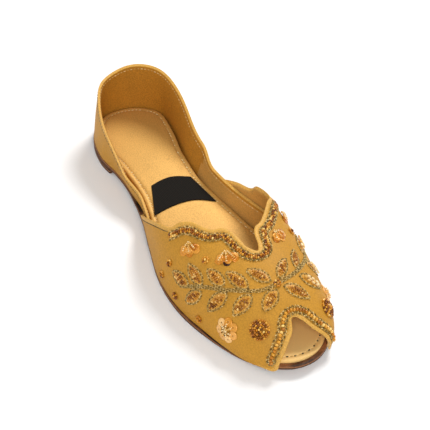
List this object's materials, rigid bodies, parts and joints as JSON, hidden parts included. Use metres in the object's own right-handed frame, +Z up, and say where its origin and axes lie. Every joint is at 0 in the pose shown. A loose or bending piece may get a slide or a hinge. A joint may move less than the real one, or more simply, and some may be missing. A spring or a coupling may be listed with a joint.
{
  "type": "embroidered slip-on shoe",
  "caption": "Low-cut open-toe slip-on shoe in gold leather with a scalloped beaded front piece and a metallic insole.",
  "frame": {"origin": "centre of the bounding box in plan, on the plane the shoe stands on", "axes": "+X towards the toe, +Y towards the inner side of the foot, +Z up"},
  "size_m": [0.248, 0.0868, 0.0469],
  "materials": {
    "upper_leather": "matte mustard gold",
    "foil_leather": "satin metallic gold foil",
    "sole_leather": "brown, matte",
    "heel_leather": "dark brown, matte",
    "label_cloth": "black woven cloth, bare",
    "zari_and_beads": "metallic thread with amber beads",
    "zari_thread": "metallic thread",
    "sequins": "peach gold, glossy",
    "dark_beads": "dark amber, glossy"
  },
  "bodies": {
    "root": {"bead_cluster_01": "dark_beads", "bead_cluster_02": "dark_beads", "bead_cluster_03": "dark_beads", "bead_dot_01": "dark_beads", "bead_dot_02": "dark_beads", "bead_dot_03": "dark_beads", "bead_dot_04": "dark_beads", "bead_dot_05": "dark_beads", "bead_dot_06": "dark_beads", "bead_dot_07": "dark_beads", "flower_01": "sequins", "flower_02": "sequins", "flower_03": "sequins", "flower_04": "sequins", "flower_05": "sequins", "flower_06": "sequins", "heel_lift": "heel_leather", "insole": "foil_leather", "label_patch": "label_cloth", "leaf_01": "zari_thread", "leaf_02": "zari_thread", "leaf_03": "zari_thread", "leaf_04": "zari_thread", "leaf_05": "zari_thread", "leaf_06": "zari_thread", "leaf_07": "zari_thread", "leaf_08": "zari_thread", "leaf_09": "zari_thread", "leaf_10": "zari_thread", "leaf_11": "zari_thread", "leaf_12": "zari_thread", "leaf_13": "zari_thread", "leaf_14": "zari_thread", "leaf_15": "zari_thread", "outsole": "sole_leather", "quarter": "upper_leather", "stem_inner": "zari_thread", "stem_outer": "zari_thread", "toe_trim": "zari_and_beads", "topline_trim": "zari_and_beads", "vamp": "upper_leather"}
  },
  "joints": []
}
